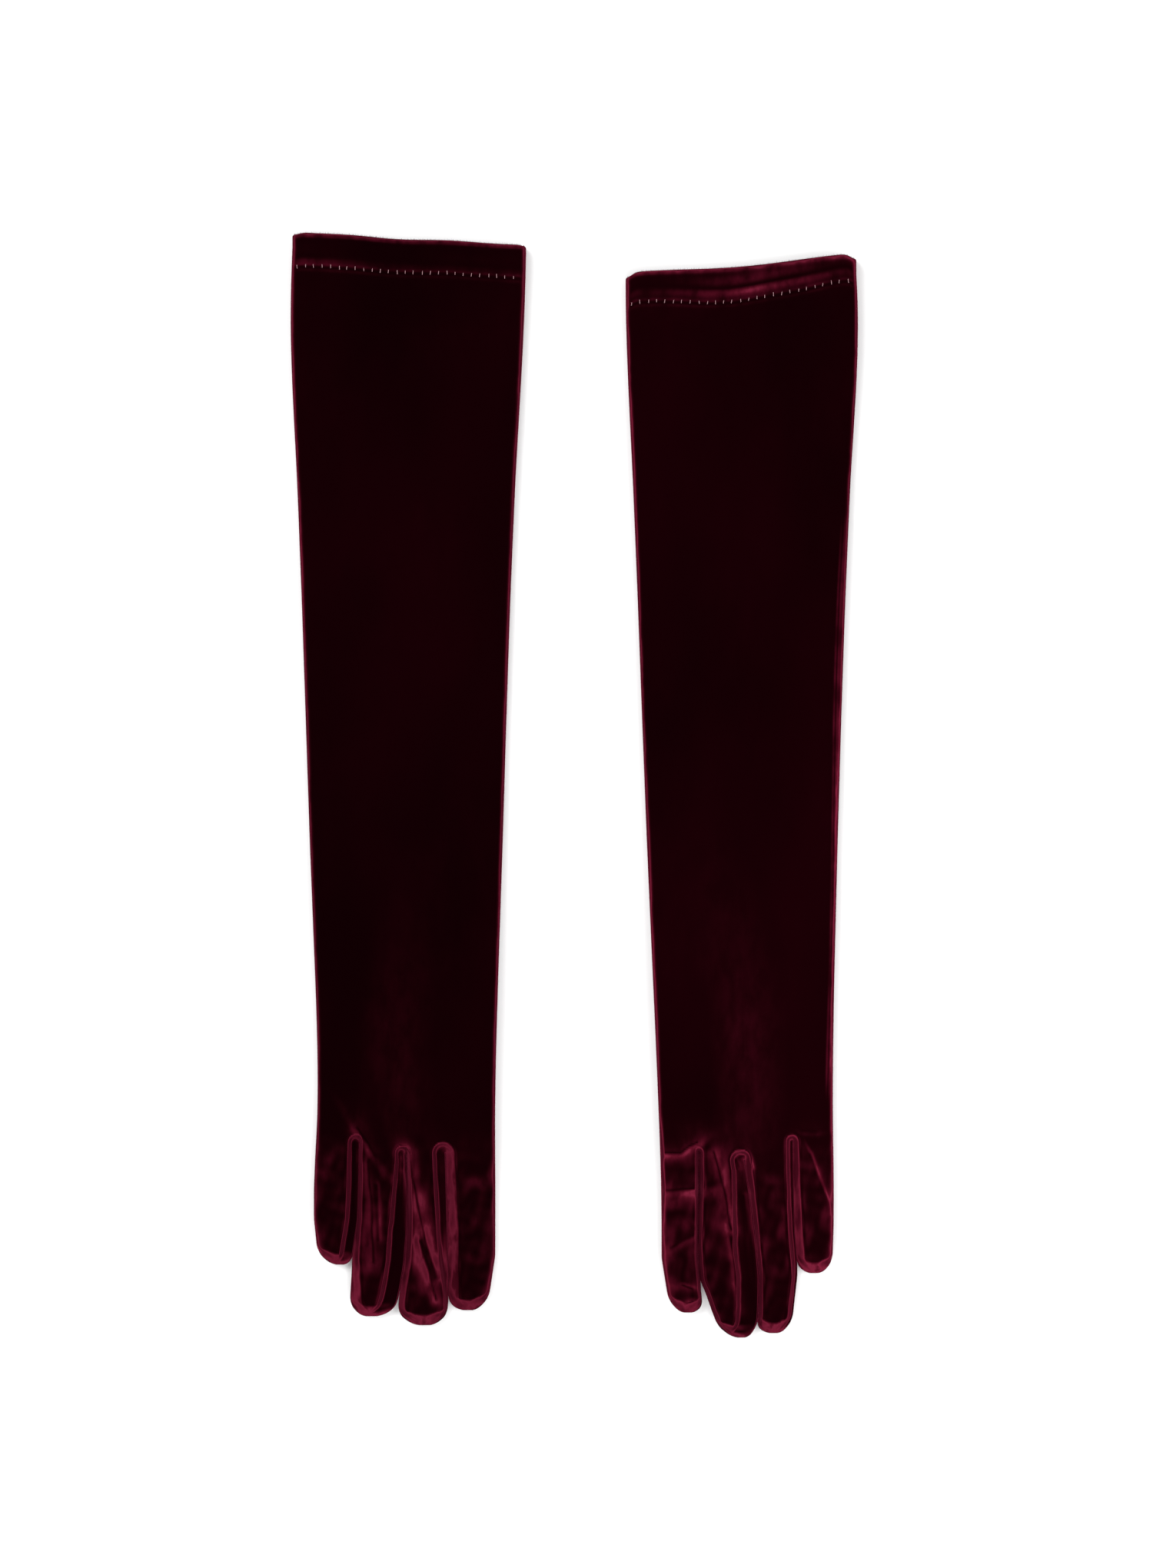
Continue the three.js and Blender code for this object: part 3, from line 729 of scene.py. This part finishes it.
def finger_rings(plan, cloth, index, arm):
    """Rings of one finger, from the hand's last row to just before the tip."""
    tip = plan.tips[index]
    first_x, first_y = arm.rows[index]
    shoulder = tip + SHOULDER
    straight = np.linspace(first_y.min() - 0.7 * MM, shoulder, 110)
    end = shoulder - (SHOULDER - 0.12 * MM) * np.sin(np.linspace(0, math.pi / 2, 28)[1:])
    rows = np.concatenate([straight, end])
    shares = np.array([finger_columns(plan, index, y) for y in rows])
    left, right = plan.side_x(index, 0, rows), plan.side_x(index, 1, rows)
    x = left[:, None] + (right - left)[:, None] * shares
    y = np.repeat(rows[:, None], x.shape[1], axis=1)
    still = np.linspace(1, 0, BENT_ROWS + 1)[1:, None] ** 1.5
    y[:BENT_ROWS] += (first_y - first_y.min())[None] * still
    x[:BENT_ROWS] += (first_x - x[0])[None] * still
    x = np.concatenate([first_x[None], x])
    y = np.concatenate([first_y[None], y])
    return join_sides(x, y, *cloth.heights(x, y, index))


# ---- Pieces ----
def build_glove(side, materials):
    """Every piece of one glove."""
    plan = Plan(side)
    cloth = Cloth(plan)
    arm = Arm(plan, cloth)
    sleeve, sleeve_rings = build_sleeve(plan, arm, materials)
    hand, hand_rings = build_hand(plan, arm, materials)
    hem = build_hem(plan, arm, materials)
    fingers = [build_finger(plan, cloth, arm, index, materials) for index in range(4)]
    match_normals([sleeve, hand, hem] + [piece for finger in fingers for piece in finger])
    stitches = build_stitches(plan, cloth, materials)
    fuzz = build_fuzz(plan, arm, materials)
    sleeve_seam, hand_seam = build_seams(plan, cloth, materials)
    declare_cloth(sleeve_rings)
    declare_cloth(hand_rings)
    build_thumb(plan, materials)


def across_arm(piece, plan, joint, direction):
    """Bakes the piece's transform into its mesh; the start of a bend at elbow or wrist is found but
    unused.
    """
    start = Vector(plan.pivot(joint)) - Vector((0, direction * BEND_LEAD, 0))
    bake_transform(piece)


def cuff_turn(count):
    """Steps round the turned edge of the cuff, from its crest to its outside: (down, inset)."""
    angles = np.linspace(math.pi / 2, 0, count)
    return [(CUFF_ROLL * (1 - math.sin(a)), CUFF_ROLL * (1 - math.cos(a))) for a in angles]


def build_sleeve(plan, arm, materials):
    """The sleeve from the crest of the cuff to mid forearm, as thick as its cloth."""
    split = arm.share_at(SPLIT_Y)
    hem_end = arm.share_at(plan.cuff_y(0.5) - HEM_DEPTH - 5 * MM)
    start = arm.share_at(plan.cuff_y(0.5) - 2 * CUFF_ROLL)
    outer = np.concatenate([np.linspace(start, hem_end, 30), np.linspace(hem_end, split, 82)[1:]])
    inner = np.linspace(split, start, 40)
    turned = [arm.rings(0, inset, down) for down, inset in cuff_turn(5)]
    outside = np.concatenate(turned + [arm.rings(outer)])
    rings = np.concatenate([outside, arm.rings(inner, CLOTH)])
    piece = lined_piece(f"{plan.side}_sleeve_velvet", rings, len(outside) - 1, materials)
    across_arm(piece, plan, "elbow", 1)
    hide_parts(f"{plan.side}_upper_sleeve", f"{plan.side}_forearm_sleeve")
    return piece, outside


def build_hand(plan, arm, materials):
    """The forearm's lower half and the hand, down to the knuckles."""
    split = arm.share_at(SPLIT_Y)
    hand_start = arm.share_at(HAND_Y)
    rows = np.concatenate([np.linspace(split, hand_start, 36), np.linspace(hand_start, 1, 110)[1:]])
    rings = arm.rings(rows)
    faces = ring_faces(len(rings), arm.columns)
    piece = make_piece(f"{plan.side}_hand_velvet", rings.reshape(-1, 3), faces, materials["velvet"])
    across_arm(piece, plan, "wrist", -1)
    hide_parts(f"{plan.side}_hand")
    return piece, rings


def face_owners(plan, index, rings):
    """For each face of a finger's tube: 0 if it is the finger's own, 1 if it belongs to the left
    fourchette and 2 if to the right one."""
    rows, columns, _ = rings.shape
    column = np.arange(columns)
    from_right = column - (columns + 2) // 2 + 1
    left_side = (column < SEAM_COLUMN) | (column >= columns - SEAM_COLUMN)
    right_side = (from_right >= -SEAM_COLUMN) & (from_right < SEAM_COLUMN)
    before_tip = rings[:-1, 0, 1] > plan.tips[index] + FOURCHETTE_STOP
    owners = np.zeros((rows - 1, columns), int)
    for number, _ in neighbours(index):
        owners[np.outer(before_tip, left_side if number == 1 else right_side)] = number
    return owners


def build_finger(plan, cloth, arm, index, materials):
    """A finger and its fourchettes."""
    finger = f"{plan.side}_{plan.order[index]}"
    rings = finger_rings(plan, cloth, index, arm)
    rows, columns, _ = rings.shape
    owners = face_owners(plan, index, rings)
    points = np.concatenate([rings.reshape(-1, 3), rings[-1].mean(axis=0)[None]])
    last = (rows - 1) * columns
    fan = [(len(points) - 1, last + (i + 1) % columns, last + i) for i in range(columns)]
    parts = {0: ("finger_velvet", "finger", fan)}
    for number, other in neighbours(index):
        beside = plan.order[other]
        parts[number] = (f"{beside}_fourchette_velvet", f"fourchette_to_{beside}", [])
    x, _, z = plan.pivot(plan.order[index])
    faces = list(zip(ring_faces(rows, columns), owners.flat))
    pieces = []
    for number, (name, node, more) in parts.items():
        own = [face for face, owner in faces if owner == number] + more
        piece = part_of(f"{finger}_{name}", points, own, materials["velvet"])
        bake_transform(piece)
        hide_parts(f"{finger}_{node}")
        pieces.append(piece)
    declare_cloth(rings, owners == 0)
    return pieces


def build_hem(plan, arm, materials):
    """The turned-in hem: it takes over at the crest of the cuff and lies inside the sleeve."""
    inside = CLOTH + 0.12 * MM
    # Its rings, each by its distance down from the cuff's edge and in from the sleeve's outside.
    section = [(down, 2 * CUFF_ROLL - inset + 0.25 * MM) for down, inset in cuff_turn(5)]
    section[0] = (0.0, CUFF_ROLL)
    section += [(d, 2 * CUFF_ROLL + 0.3 * MM) for d in np.linspace(CUFF_ROLL, HEM_DEPTH, 10)[1:]]
    section += [(HEM_DEPTH + 0.3 * MM, 2 * CUFF_ROLL), (HEM_DEPTH, inside)]
    lining_ring = len(section) - 1
    section += [(d, inside) for d in np.linspace(HEM_DEPTH, 1.4 * MM, 8)[1:]]
    rings = np.concatenate([arm.rings(0, inset, down) for down, inset in section])
    piece = lined_piece(f"{plan.side}_hem_velvet", rings, lining_ring, materials)
    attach(piece, f"{plan.side}_upper")
    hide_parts(f"{plan.side}_hem_facing")
    return piece


def build_stitches(plan, cloth, materials):
    """The row of small upright stitches that holds the hem, on the back and on the palm."""
    draw = random.Random(7 if plan.side == "right" else 8)
    points, faces = [], []
    left, right = plan.edges_at(max(plan.cuff_ends) - 16 * MM)
    count = int((right - left - 2 * STITCH_MARGIN) / STITCH_PITCH)
    for palm in (False, True):
        for number in range(count + 1):
            along = STITCH_MARGIN + number * STITCH_PITCH + draw.uniform(-0.3, 0.3) * MM
            share = along / (right - left)
            y = plan.cuff_y(share) - plan.hem_depth(share) + draw.uniform(-0.25, 0.25) * MM
            length = draw.uniform(1.9, 2.6) * MM
            slant = draw.uniform(-0.12, 0.2)
            add_stitch(plan, cloth, (share, y, length, slant), palm, points, faces)
    piece = make_piece(f"{plan.side}_hem_stitches", points, faces, materials["thread"], closed=True)
    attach(piece, f"{plan.side}_upper")
    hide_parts(f"{plan.side}_hem_thread")
    return piece


def add_stitch(plan, cloth, place, palm, points, faces):
    """One stitch: a short thread that comes up out of the cloth and goes back in."""
    share, y, length, slant = place
    sides = 6
    stations = np.linspace(-1, 1, 7)
    left, right = plan.edges_at(y)
    x = left + (right - left) * share + slant * length * stations / 2
    ys = y + length * stations / 2
    back, under = cloth.heights(x, ys, 0 if share < 0.5 else 3)
    sunk = 0.5 * MM * np.abs(stations) ** 4
    z = under - 0.1 * MM + sunk if palm else back + 0.16 * MM - sunk
    first = len(points)
    for cx, cy, cz, station in zip(x, ys, z, stations):
        thick = STITCH_RADIUS * math.sqrt(1 - 0.85 * station**4)
        for k in range(sides):
            angle = 2 * math.pi * k / sides
            points.append((cx + thick * math.cos(angle), cy, cz + thick * math.sin(angle)))
    faces += tube_faces(len(stations), sides, first)


def pile_end(draw, start, end, middle_z):
    """The foot's three points and the tip of a pile end that grows somewhere between start and end, and
    leans away from the cuff's middle height."""
    root = start + (end - start) * draw.random()
    outward = 1 if root[2] > middle_z else -1
    lean = (draw.uniform(-0.3, 0.3), draw.uniform(0.5, 1.0), outward * draw.uniform(-0.1, 0.9))
    tip = root + np.array(lean) * draw.uniform(0.5, 1.05) * MM
    radius = draw.uniform(0.05, 0.09) * MM
    foot = root - np.array((0, 0.15 * MM, 0))
    around = [np.array((math.cos(angle), 0, math.sin(angle))) for angle in (0.5, 2.6, 4.7)]
    return [foot + radius * direction for direction in around] + [tip]


def build_fuzz(plan, arm, materials):
    """Short pile ends that stand up all along the turned edge of the cuff."""
    draw = random.Random(21 if plan.side == "right" else 22)
    ring = arm.rings(0, CUFF_ROLL)[0]
    middle_z = ring[:, 2].mean()
    points, faces = [], []
    for start, end in zip(ring, np.roll(ring, -1, axis=0)):
        for _ in range(max(1, round(np.linalg.norm(end - start) / FUZZ_PITCH))):
            first = len(points)
            points += pile_end(draw, start, end, middle_z)
            faces.append((first, first + 1, first + 2))
            faces += [(first + k, first + (k + 1) % 3, first + 3) for k in range(3)]
    piece = make_piece(f"{plan.side}_cuff_fuzz", points, faces, materials["fuzz"], closed=True)
    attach(piece, f"{plan.side}_upper")
    return piece


def seam_strip(plan, cloth, start, end):
    """Points and faces of the seam allowance inside the little-finger edge, from one Y to another."""
    # The strip's section, in mm: inwards from the glove's edge, and up from the height of the edge.
    section = [(1.7, -0.35), (5.0, -0.5), (5.3, 0), (5.0, 0.5), (1.7, 0.35), (1.4, 0)]
    number, inwards = (0, 1) if plan.side == "right" else (1, -1)
    ys = np.linspace(start, end, int((start - end) / (3 * MM)))
    points = []
    for y in ys:
        edge = plan.edges_at(y)[number]
        middle = MID + float(cloth.rise(edge, y))
        sway = 0.25 * math.sin(y * 90)
        for inward, up in section:
            z = middle + (up + sway * inward / 5) * MM
            points.append((edge + inwards * inward * MM, y, z))
    return points, tube_faces(len(ys), len(section))


def build_seams(plan, cloth, materials):
    """The seam allowance inside the little-finger edge, one strip for the sleeve and one for the hand."""
    side = plan.side
    knuckle = plan.slits[0 if side == "right" else 2][1]
    top = max(plan.cuff_ends) - SEAM_START
    spans = {
        "sleeve": (top, SPLIT_Y, "elbow", "upper", 1, ("upper_sleeve_seam", "forearm_seam")),
        "hand": (SPLIT_Y, knuckle + 4 * MM, "wrist", "palm", -1, ("hand_seam",)),
    }
    pieces = []
    for name, (start, end, joint, body, direction, nodes) in spans.items():
        points, faces = seam_strip(plan, cloth, start, end)
        name = f"{side}_{name}_seam_allowance"
        piece = make_piece(name, points, faces, materials["backing"], closed=True)
        across_arm(piece, plan, joint, direction)
        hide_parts(*[f"{side}_{node}" for node in nodes])
        pieces.append(piece)
    return pieces


def thumb_ring(low, high, share, columns):
    """A ring of points round the thumb, at a share of the way from its back end to its tip."""
    length = high.y - low.y
    y = high.y - length * (0.5 - 0.5 * math.cos(math.pi * share))
    back_end = min((high.y - y) / THUMB_BACK, 1)
    tip_end = min((y - low.y) / THUMB_TIP, 1)
    half = (high.x - low.x) / 2 * (1 - 0.1 * (high.y - y) / length)
    half *= math.sqrt(1 - (1 - back_end) ** 2) * math.sqrt(1 - (1 - tip_end) ** 2)
    full = min(back_end, tip_end) ** 0.25
    ring = []
    for k in range(columns):
        angle = 2 * math.pi * k / columns
        across = -math.cos(angle)
        bulge = math.copysign(math.sqrt(1 - across**4), math.sin(angle)) * full
        z = (THUMB_RISE - THUMB_PLAY) / 2 * (1 + bulge)
        ring.append(((low.x + high.x) / 2 + half * across, y, z))
    return ring


def build_thumb(plan, materials):
    """The thumb, pressed flat under the palm."""
    low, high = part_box(f"{plan.side}_thumb")
    rows, columns = 40, 44
    rings = np.array([thumb_ring(low, high, t, columns) for t in np.linspace(0.004, 0.996, rows)])
    faces = tube_faces(rows, columns)
    name = f"{plan.side}_thumb_velvet"
    piece = make_piece(name, rings.reshape(-1, 3), faces, materials["velvet"], closed=True)
    # The lean noted here becomes the velvet's painted sheen.
    note_painted_sheen_lean(piece, [v.normal[:] for v in piece.data.vertices])
    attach(piece, f"{plan.side}_thumb_tube")
    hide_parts(f"{plan.side}_thumb")
    declare_cloth(rings, np.arange(columns) < columns // 2)


# ---- Materials ----
# Painted sheen: the velvet's colour by how far it leans from level, as its pile's sheen looks from above:
# nearly black where it lies level, crimson where it leans over on a slope, and dull on the steepest parts.
PAINTED_SHEEN_STOPS = [
    (0.0, (0.0042, 0.0001, 0.0006)),
    (0.012, (0.0090, 0.0004, 0.0014)),
    (0.045, (0.0250, 0.0012, 0.0040)),
    (0.11, (0.050, 0.0027, 0.0082)),
    (0.2, (0.112, 0.0084, 0.0225)),
    (0.3, (0.088, 0.0058, 0.0165)),
    (0.5, (0.033, 0.0018, 0.0057)),
    (1.0, (0.018, 0.0010, 0.0032)),
]


def noise(nodes, links, scale, detail, stretch=(1, 1, 1)):
    """A noise texture over the object's own coordinates."""
    place = nodes.new("ShaderNodeTexCoord")
    mapping = nodes.new("ShaderNodeMapping")
    mapping.inputs["Scale"].default_value = stretch
    texture = nodes.new("ShaderNodeTexNoise")
    texture.inputs["Scale"].default_value = scale
    texture.inputs["Detail"].default_value = detail
    links.new(place.outputs["Object"], mapping.inputs["Vector"])
    links.new(mapping.outputs["Vector"], texture.inputs["Vector"])
    return texture.outputs["Fac"]


def colour_ramp(nodes, links, value, stops):
    """A colour ramp with (position, colour) stops, driven by a value."""
    ramp = nodes.new("ShaderNodeValToRGB")
    elements = ramp.color_ramp.elements
    while len(elements) < len(stops):
        elements.new(0.5)
    for element, (position, colour) in zip(elements, stops):
        element.position = position
        element.color = (*colour, 1)
    links.new(value, ramp.inputs["Fac"])
    return ramp.outputs["Color"]


def add_bump(nodes, links, shader, height, strength, distance):
    """Bump from a height to the shader's normal."""
    node = nodes.new("ShaderNodeBump")
    node.inputs["Strength"].default_value = strength
    node.inputs["Distance"].default_value = distance
    links.new(height, node.inputs["Height"])
    links.new(node.outputs["Normal"], shader.inputs["Normal"])


def math_node(nodes, links, operation, *values):
    """The result of a math node over sockets and numbers."""
    node = nodes.new("ShaderNodeMath")
    node.operation = operation
    for socket, value in zip(node.inputs, values):
        if isinstance(value, float):
            socket.default_value = value
        else:
            links.new(value, socket)
    return node.outputs["Value"]


def stripes(nodes, links, scale, distortion, direction):
    """A wave texture over the object's own coordinates."""
    place = nodes.new("ShaderNodeTexCoord")
    texture = nodes.new("ShaderNodeTexWave")
    texture.inputs["Scale"].default_value = scale
    texture.inputs["Distortion"].default_value = distortion
    texture.bands_direction = direction
    links.new(place.outputs["Object"], texture.inputs["Vector"])
    return texture.outputs["Fac"]


def new_material(name, roughness, specular):
    """A material with its nodes, links and main shader."""
    material = bpy.data.materials.new(name)
    material.use_nodes = True
    nodes, links = material.node_tree.nodes, material.node_tree.links
    shader = nodes["Principled BSDF"]
    shader.inputs["Roughness"].default_value = roughness
    shader.inputs["Specular IOR Level"].default_value = specular
    return material, nodes, links, shader


def mottled_painted_sheen_lean(nodes, links):
    """How far the cloth leans from level, made uneven where it leans, to drive the painted sheen."""
    lean = nodes.new("ShaderNodeAttribute")
    lean.attribute_name = "lean"
    mottle = nodes.new("ShaderNodeMapRange")
    for name, value in (("From Min", 0.35), ("From Max", 0.65), ("To Min", -0.58), ("To Max", 0.58)):
        mottle.inputs[name].default_value = value
    links.new(noise(nodes, links, 170, 4, (1, 0.42, 1)), mottle.inputs["Value"])
    at_most = math_node(nodes, links, "MINIMUM", lean.outputs["Fac"], 0.22)
    return math_node(nodes, links, "MULTIPLY_ADD", at_most, mottle.outputs["Result"], lean.outputs["Fac"])


def velvet_material(name, strength):
    """Burgundy velvet with painted sheen, brushed lighter and darker in patches; the strength scales it
    all.
    """
    material, nodes, links, shader = new_material(name, 0.95, 0.0)
    shader.inputs["Sheen Weight"].default_value = 0.3
    shader.inputs["Sheen Roughness"].default_value = 0.35
    shader.inputs["Sheen Tint"].default_value = (0.9, 0.08, 0.2, 1)
    # Painted sheen: the colour follows how far the cloth leans from level, lighter on slopes.
    painted_sheen_colour = colour_ramp(nodes, links, mottled_painted_sheen_lean(nodes, links), PAINTED_SHEEN_STOPS)
    patches = noise(nodes, links, 12, 4, (1, 0.5, 1))
    low, high = 0.72 * strength, 1.3 * strength
    brushed = colour_ramp(nodes, links, patches, [(0.35, (low,) * 3), (0.7, (high,) * 3)])
    mix = nodes.new("ShaderNodeMix")
    mix.data_type = "RGBA"
    mix.blend_type = "MULTIPLY"
    mix.inputs["Factor"].default_value = 1.0
    colour_a, colour_b, result = mix.inputs[6], mix.inputs[7], mix.outputs[2]
    links.new(painted_sheen_colour, colour_a)
    links.new(brushed, colour_b)
    links.new(result, shader.inputs["Base Color"])
    add_bump(nodes, links, shader, noise(nodes, links, 260, 5, (1, 0.6, 1)), 0.5, 0.25 * MM)
    return material


def plain_material(name, roughness, specular, pattern, stops, relief=None):
    """A material whose colour follows a pattern through (position, colour) stops, and so does its bump,
    if it has a relief: the bump's strength and distance."""
    material, nodes, links, shader = new_material(name, roughness, specular)
    texture, *settings = pattern
    value = texture(nodes, links, *settings)
    links.new(colour_ramp(nodes, links, value, stops), shader.inputs["Base Color"])
    if relief:
        add_bump(nodes, links, shader, value, *relief)
    return material


def backing_material():
    """The velvet's knitted back: fine ribs in a duller red."""
    stops = [(0.2, (0.05, 0.004, 0.014)), (0.8, (0.085, 0.008, 0.024))]
    return plain_material("velvet_back", 0.85, 0.15, (stripes, 500, 1.5, "X"), stops, (0.5, 0.2 * MM))


def thread_material():
    """Dull pink sewing thread with a fine twist."""
    stops = [(0.2, (0.25, 0.11, 0.13)), (0.8, (0.55, 0.33, 0.35))]
    return plain_material("hem_thread", 0.6, 0.5, (stripes, 900, 0, "DIAGONAL"), stops, (0.4, 0.1 * MM))


def fuzz_material():
    """Loose ends of crimson pile, a little darker in places."""
    stops = [(0.3, (0.05, 0.004, 0.012)), (0.7, (0.14, 0.012, 0.034))]
    return plain_material("pile_fuzz", 0.9, 0.1, (noise, 300, 2), stops)


def floor_material():
    """Plain near-white backdrop with a faint mottle."""
    stops = [(0.3, (0.93, 0.93, 0.93)), (0.7, (0.95, 0.95, 0.95))]
    return plain_material("pale_floor", 0.9, 0.1, (noise, 3, 2), stops)


# ---- Stage ----
FLOOR_HALF = 6.0
CAMERA_HEIGHT = 3.2
VIEW_LENGTH = 1.4206  # what the camera sees from top to bottom, in lengths of the pair
VIEW_SHIFT = (1.1 * MM, 0.6 * MM)  # from the middle of the pair to the middle of the view
SENSOR = 36  # mm


def build_floor():
    """A plain floor just under the gloves."""
    signs = ((-1, -1), (1, -1), (1, 1), (-1, 1))
    corners = [(FLOOR_HALF * x, FLOOR_HALF * y, 0) for x, y in signs]
    floor = make_piece("floor", corners, [(0, 1, 2, 3)], floor_material())
    floor.location.z = -0.1 * MM


def build_lights():
    """Three soft lamps and an even white surrounding."""
    for name, place, size, power in (
        ("key_light", (-0.9, 0.7, 1.5), 1.2, 26),
        ("fill_light", (1.1, -0.4, 1.4), 1.4, 18),
        ("low_light", (0.1, -1.5, 0.9), 1.2, 14),
    ):
        light = bpy.data.lights.new(name, "AREA")
        light.size = size
        light.energy = power
        lamp = bpy.data.objects.new(name, light)
        lamp.location = place
        lamp.rotation_euler = (-Vector(place)).to_track_quat("-Z", "Y").to_euler()
        bpy.context.scene.collection.objects.link(lamp)
    world = bpy.data.worlds.new("soft_world")
    world.use_nodes = True
    world.node_tree.nodes["Background"].inputs["Color"].default_value = (1, 1, 1, 1)
    world.node_tree.nodes["Background"].inputs["Strength"].default_value = 0.55
    bpy.context.scene.world = world
    bpy.context.scene.view_settings.view_transform = "Standard"


def build_camera():
    """A camera straight above the pair, which looks down."""
    low, high = cad_box
    camera = bpy.data.objects.new("camera", bpy.data.cameras.new("camera"))
    camera.data.sensor_width = SENSOR
    camera.data.lens = SENSOR * CAMERA_HEIGHT / ((high.y - low.y) * VIEW_LENGTH)
    x, y = (low.x + high.x) / 2 + VIEW_SHIFT[0], (low.y + high.y) / 2 + VIEW_SHIFT[1]
    camera.location = (x, y, CAMERA_HEIGHT)
    bpy.context.scene.collection.objects.link(camera)
    bpy.context.scene.camera = camera


build_floor()
build_lights()
build_camera()
materials = {"backing": backing_material(), "thread": thread_material(), "fuzz": fuzz_material()}
for side, strength in (("right", 0.94), ("left", 1.12)):
    materials["velvet"] = velvet_material(f"{side}_burgundy_velvet", strength)
    build_glove(side, materials)
